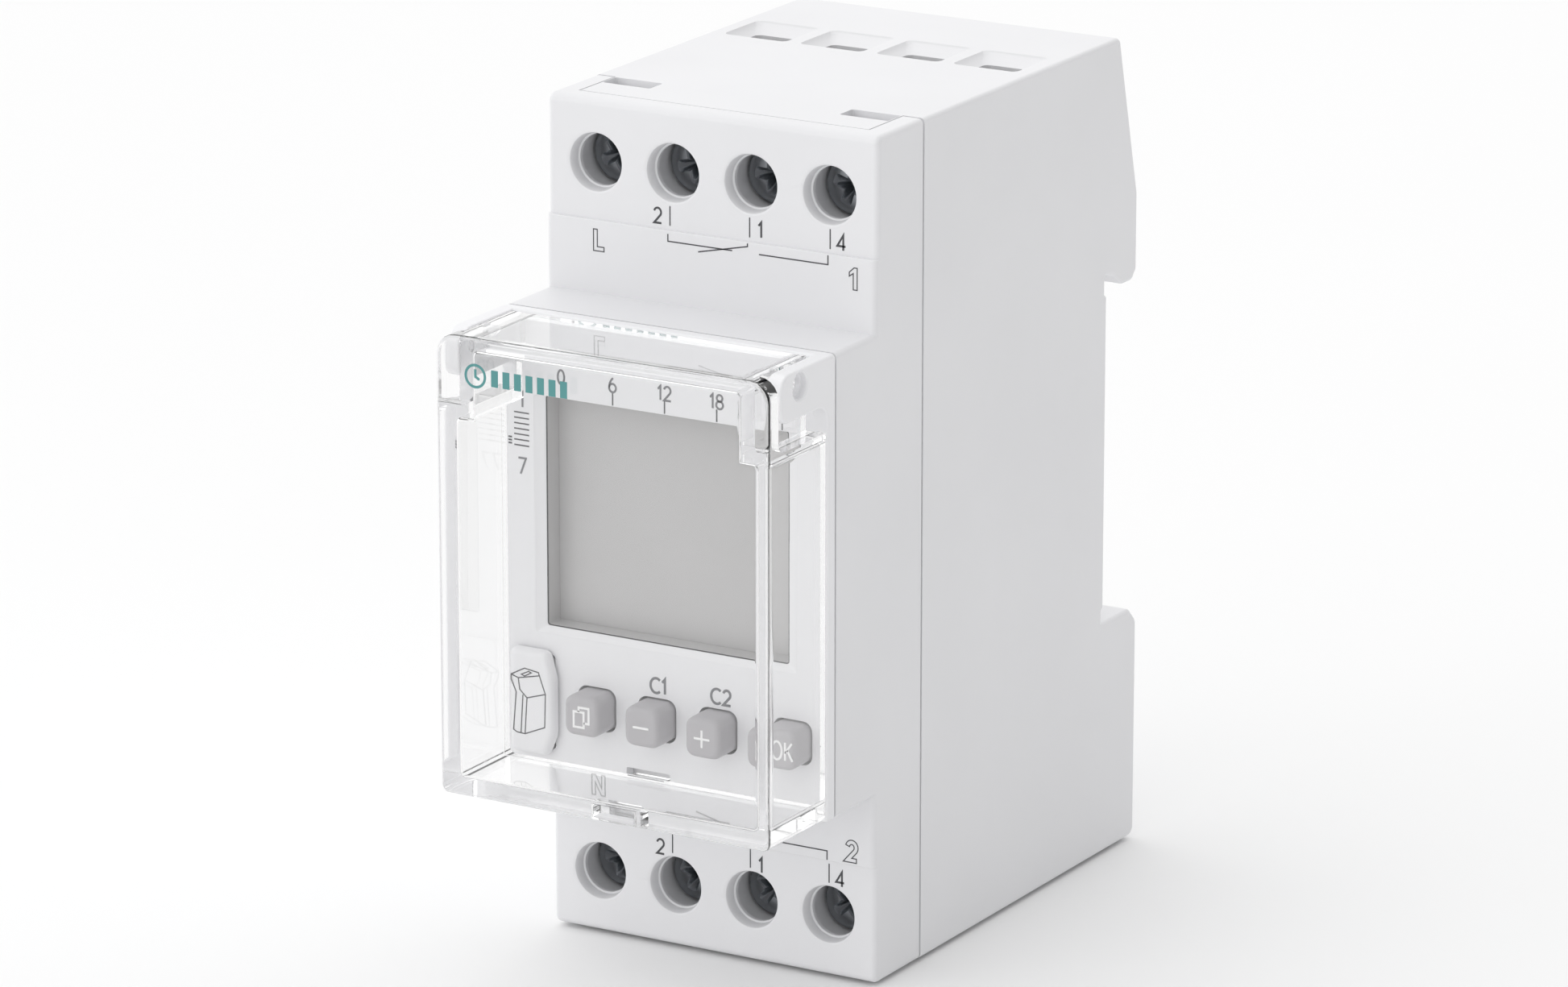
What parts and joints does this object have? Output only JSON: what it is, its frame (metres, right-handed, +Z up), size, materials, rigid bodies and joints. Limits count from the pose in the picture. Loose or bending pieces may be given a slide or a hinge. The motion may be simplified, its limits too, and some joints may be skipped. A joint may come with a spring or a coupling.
{
  "type": "din rail timer",
  "caption": "White time switch for a mounting rail, with a grey display, rubber keys, screw terminals above and below and a clear hinged hood.",
  "frame": {"origin": "centre of the rail seat, where the back of the housing rests on the front of the 35 mm mounting rail", "axes": "+Z up along the device's height, front with the hood faces -Y, +Y points into the rail"},
  "size_m": [0.0358, 0.0721, 0.0826],
  "materials": {
    "white_polycarbonate": "fine satin moulding",
    "clear_polycarbonate": "clear, polished",
    "grey_silicone": "matt",
    "lcd_glass": "satin polariser",
    "diffuser_acrylic": "frosted",
    "conductive_rubber": "matt",
    "black_nylon": "matt",
    "solder_mask_green": "satin",
    "silicone_mat": "matt",
    "black_epoxy": "matt",
    "nickel_steel": "plated",
    "relay_blue": "satin",
    "capacitor_yellow": "satin",
    "capacitor_sleeve": "gloss",
    "varistor_epoxy": "gloss",
    "grey_polyamide": "matt",
    "spring_steel": "drawn",
    "zinc_steel": "zinc plated",
    "tinned_brass": "tinned"
  },
  "bodies": {
    "housing": {"rear_housing": "white_polycarbonate", "front_cover": "white_polycarbonate", "display_bezel": "white_polycarbonate", "lcd_glass": "lcd_glass", "light_diffuser": "diffuser_acrylic", "zebra_upper": "conductive_rubber", "zebra_lower": "conductive_rubber", "lcd_frame": "black_nylon", "data_key_socket": "black_nylon", "board_connector": "black_nylon", "control_board": "solder_mask_green", "power_board": "solder_mask_green", "key_mat": "silicone_mat", "microcontroller": "black_epoxy", "crystal": "nickel_steel", "lithium_cell": "nickel_steel", "relay_1": "relay_blue", "relay_2": "relay_blue", "x_capacitor": "capacitor_yellow", "electrolytic_capacitor": "capacitor_sleeve", "varistor": "varistor_epoxy", "latch_spring": "spring_steel", "contact_tab_upper_1": "tinned_brass", "contact_tab_upper_2": "tinned_brass", "contact_tab_upper_3": "tinned_brass", "contact_tab_upper_4": "tinned_brass", "contact_tab_lower_1": "tinned_brass", "contact_tab_lower_2": "tinned_brass", "contact_tab_lower_3": "tinned_brass", "contact_tab_lower_4": "tinned_brass"},
    "hood": {"hood": "clear_polycarbonate"},
    "key_menu": {"key_menu": "grey_silicone"},
    "key_minus": {"key_minus": "grey_silicone"},
    "key_plus": {"key_plus": "grey_silicone"},
    "key_ok": {"key_ok": "grey_silicone"},
    "data_key_cover": {"data_key_cover": "white_polycarbonate"},
    "rail_latch": {"rail_latch": "grey_polyamide"},
    "terminal_screw_upper_1": {"terminal_screw_upper_1": "zinc_steel"},
    "clamp_cage_upper_1": {"clamp_cage_upper_1": "nickel_steel"},
    "terminal_screw_upper_2": {"terminal_screw_upper_2": "zinc_steel"},
    "clamp_cage_upper_2": {"clamp_cage_upper_2": "nickel_steel"},
    "terminal_screw_upper_3": {"terminal_screw_upper_3": "zinc_steel"},
    "clamp_cage_upper_3": {"clamp_cage_upper_3": "nickel_steel"},
    "terminal_screw_upper_4": {"terminal_screw_upper_4": "zinc_steel"},
    "clamp_cage_upper_4": {"clamp_cage_upper_4": "nickel_steel"},
    "terminal_screw_lower_1": {"terminal_screw_lower_1": "zinc_steel"},
    "clamp_cage_lower_1": {"clamp_cage_lower_1": "nickel_steel"},
    "terminal_screw_lower_2": {"terminal_screw_lower_2": "zinc_steel"},
    "clamp_cage_lower_2": {"clamp_cage_lower_2": "nickel_steel"},
    "terminal_screw_lower_3": {"terminal_screw_lower_3": "zinc_steel"},
    "clamp_cage_lower_3": {"clamp_cage_lower_3": "nickel_steel"},
    "terminal_screw_lower_4": {"terminal_screw_lower_4": "zinc_steel"},
    "clamp_cage_lower_4": {"clamp_cage_lower_4": "nickel_steel"}
  },
  "joints": [
    {"name": "hood_hinge", "type": "hinge", "parent": "housing", "child": "hood", "pos_m": [0, -0.0594, 0.0209], "axis": [-1, 0, 0], "range_deg": [0, 110]},
    {"name": "key_menu_press", "type": "slide", "parent": "housing", "child": "key_menu", "axis": [0, 1, 0], "range_m": [0, 0.0008], "stiffness_N_per_m": 1500, "springref_m": -0.0002},
    {"name": "key_minus_press", "type": "slide", "parent": "housing", "child": "key_minus", "axis": [0, 1, 0], "range_m": [0, 0.0008], "stiffness_N_per_m": 1500, "springref_m": -0.0002},
    {"name": "key_plus_press", "type": "slide", "parent": "housing", "child": "key_plus", "axis": [0, 1, 0], "range_m": [0, 0.0008], "stiffness_N_per_m": 1500, "springref_m": -0.0002},
    {"name": "key_ok_press", "type": "slide", "parent": "housing", "child": "key_ok", "axis": [0, 1, 0], "range_m": [0, 0.0008], "stiffness_N_per_m": 1500, "springref_m": -0.0002},
    {"name": "data_key_cover_pull", "type": "slide", "parent": "housing", "child": "data_key_cover", "axis": [0, -1, 0], "range_m": [0, 0.006]},
    {"name": "rail_latch_slide", "type": "slide", "parent": "housing", "child": "rail_latch", "axis": [0, 0, -1], "range_m": [0, 0.003], "stiffness_N_per_m": 900, "springref_m": -0.002, "deforming": ["latch_spring"]},
    {"name": "screw_upper_1_turn", "type": "hinge", "parent": "housing", "child": "terminal_screw_upper_1", "pos_m": [-0.01268, -0.04, 0.0351], "axis": [0, 1, 0], "range_deg": [0, 2410]},
    {"name": "cage_upper_1_lift", "type": "slide", "parent": "housing", "child": "clamp_cage_upper_1", "axis": [0, -1, 0], "range_m": [0, 0.004]},
    {"name": "screw_upper_2_turn", "type": "hinge", "parent": "housing", "child": "terminal_screw_upper_2", "pos_m": [-0.00422, -0.04, 0.0351], "axis": [0, 1, 0], "range_deg": [0, 2410]},
    {"name": "cage_upper_2_lift", "type": "slide", "parent": "housing", "child": "clamp_cage_upper_2", "axis": [0, -1, 0], "range_m": [0, 0.004]},
    {"name": "screw_upper_3_turn", "type": "hinge", "parent": "housing", "child": "terminal_screw_upper_3", "pos_m": [0.00422, -0.04, 0.0351], "axis": [0, 1, 0], "range_deg": [0, 2410]},
    {"name": "cage_upper_3_lift", "type": "slide", "parent": "housing", "child": "clamp_cage_upper_3", "axis": [0, -1, 0], "range_m": [0, 0.004]},
    {"name": "screw_upper_4_turn", "type": "hinge", "parent": "housing", "child": "terminal_screw_upper_4", "pos_m": [0.01268, -0.04, 0.0351], "axis": [0, 1, 0], "range_deg": [0, 2410]},
    {"name": "cage_upper_4_lift", "type": "slide", "parent": "housing", "child": "clamp_cage_upper_4", "axis": [0, -1, 0], "range_m": [0, 0.004]},
    {"name": "screw_lower_1_turn", "type": "hinge", "parent": "housing", "child": "terminal_screw_lower_1", "pos_m": [-0.01268, -0.04, -0.0351], "axis": [0, 1, 0], "range_deg": [0, 2410]},
    {"name": "cage_lower_1_lift", "type": "slide", "parent": "housing", "child": "clamp_cage_lower_1", "axis": [0, -1, 0], "range_m": [0, 0.004]},
    {"name": "screw_lower_2_turn", "type": "hinge", "parent": "housing", "child": "terminal_screw_lower_2", "pos_m": [-0.00422, -0.04, -0.0351], "axis": [0, 1, 0], "range_deg": [0, 2410]},
    {"name": "cage_lower_2_lift", "type": "slide", "parent": "housing", "child": "clamp_cage_lower_2", "axis": [0, -1, 0], "range_m": [0, 0.004]},
    {"name": "screw_lower_3_turn", "type": "hinge", "parent": "housing", "child": "terminal_screw_lower_3", "pos_m": [0.00422, -0.04, -0.0351], "axis": [0, 1, 0], "range_deg": [0, 2410]},
    {"name": "cage_lower_3_lift", "type": "slide", "parent": "housing", "child": "clamp_cage_lower_3", "axis": [0, -1, 0], "range_m": [0, 0.004]},
    {"name": "screw_lower_4_turn", "type": "hinge", "parent": "housing", "child": "terminal_screw_lower_4", "pos_m": [0.01268, -0.04, -0.0351], "axis": [0, 1, 0], "range_deg": [0, 2410]},
    {"name": "cage_lower_4_lift", "type": "slide", "parent": "housing", "child": "clamp_cage_lower_4", "axis": [0, -1, 0], "range_m": [0, 0.004]}
  ],
  "couplings": [
    {"joint": "screw_upper_1_turn", "follows": "cage_upper_1_lift", "rad_per_m": 10472},
    {"joint": "screw_upper_2_turn", "follows": "cage_upper_2_lift", "rad_per_m": 10472},
    {"joint": "screw_upper_3_turn", "follows": "cage_upper_3_lift", "rad_per_m": 10472},
    {"joint": "screw_upper_4_turn", "follows": "cage_upper_4_lift", "rad_per_m": 10472},
    {"joint": "screw_lower_1_turn", "follows": "cage_lower_1_lift", "rad_per_m": 10472},
    {"joint": "screw_lower_2_turn", "follows": "cage_lower_2_lift", "rad_per_m": 10472},
    {"joint": "screw_lower_3_turn", "follows": "cage_lower_3_lift", "rad_per_m": 10472},
    {"joint": "screw_lower_4_turn", "follows": "cage_lower_4_lift", "rad_per_m": 10472}
  ]
}
